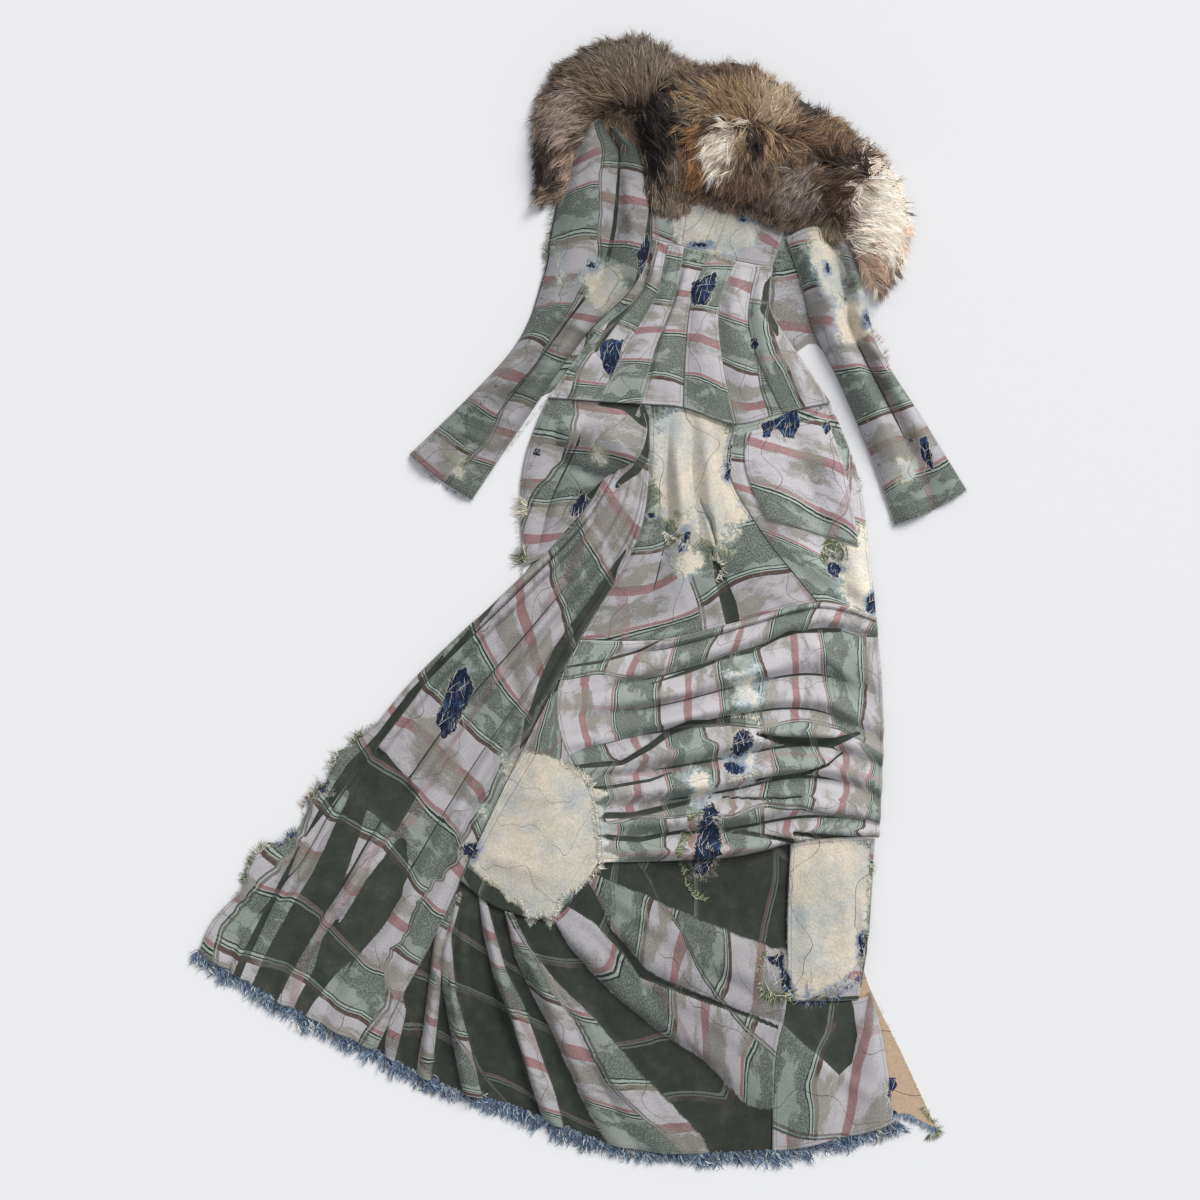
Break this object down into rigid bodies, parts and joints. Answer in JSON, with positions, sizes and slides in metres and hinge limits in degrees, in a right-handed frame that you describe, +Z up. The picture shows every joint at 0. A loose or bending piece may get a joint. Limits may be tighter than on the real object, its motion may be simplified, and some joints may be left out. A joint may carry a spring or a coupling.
{
  "type": "long denim coat with a fur collar",
  "caption": "Long patchwork denim coat with a thick fur collar, puffed narrow sleeves, a gathered and pleated flared skirt and a frayed hem, laid out flat with its back up.",
  "frame": {"origin": "middle of the whole coat's outline, on the surface that it lies on", "axes": "+Y from the hem to the collar, +Z up from the surface, +X to the right of one who looks down with the collar away from them"},
  "size_m": [1.2346, 1.8074, 0.0757],
  "materials": {
    "sage_denim": "matte",
    "taupe_denim": "matte",
    "stone_denim": "matte",
    "olive_denim": "matte",
    "cream_denim": "matte",
    "beige_inside": "matte",
    "indigo_fringe": "matte",
    "fur_brown": "matte",
    "fur_rust": "matte",
    "fur_tan": "matte",
    "fur_cream": "matte"
  },
  "bodies": {
    "root": {"front_left": "taupe_denim", "front_right": "beige_inside", "yoke": "cream_denim", "bodice_side_left": "sage_denim", "bodice_back_left": "taupe_denim", "bodice_centre_left": "stone_denim", "bodice_centre_right": "taupe_denim", "bodice_back_right": "sage_denim", "bodice_side_right": "stone_denim", "hip_left": "sage_denim", "gore_left": "taupe_denim", "skirt_centre": "cream_denim", "hip_right": "taupe_denim", "pocket_right": "stone_denim", "gathered_panel": "stone_denim", "worn_panel": "cream_denim", "pleated_fan": "olive_denim", "patch_right": "cream_denim", "corner_panel": "sage_denim", "sleeve_left": "sage_denim", "sleeve_right": "taupe_denim", "under_sleeve_left": "olive_denim", "under_sleeve_right": "olive_denim", "pelt_left": "fur_brown", "pelt_centre": "fur_rust", "pelt_right": "fur_tan", "pelt_end": "fur_cream", "hem_fringe_1": "indigo_fringe", "hem_fringe_2": "indigo_fringe", "hem_fringe_3": "indigo_fringe", "hem_fringe_4": "indigo_fringe", "hem_fringe_5": "indigo_fringe", "hem_fringe_6": "indigo_fringe"}
  },
  "joints": []
}
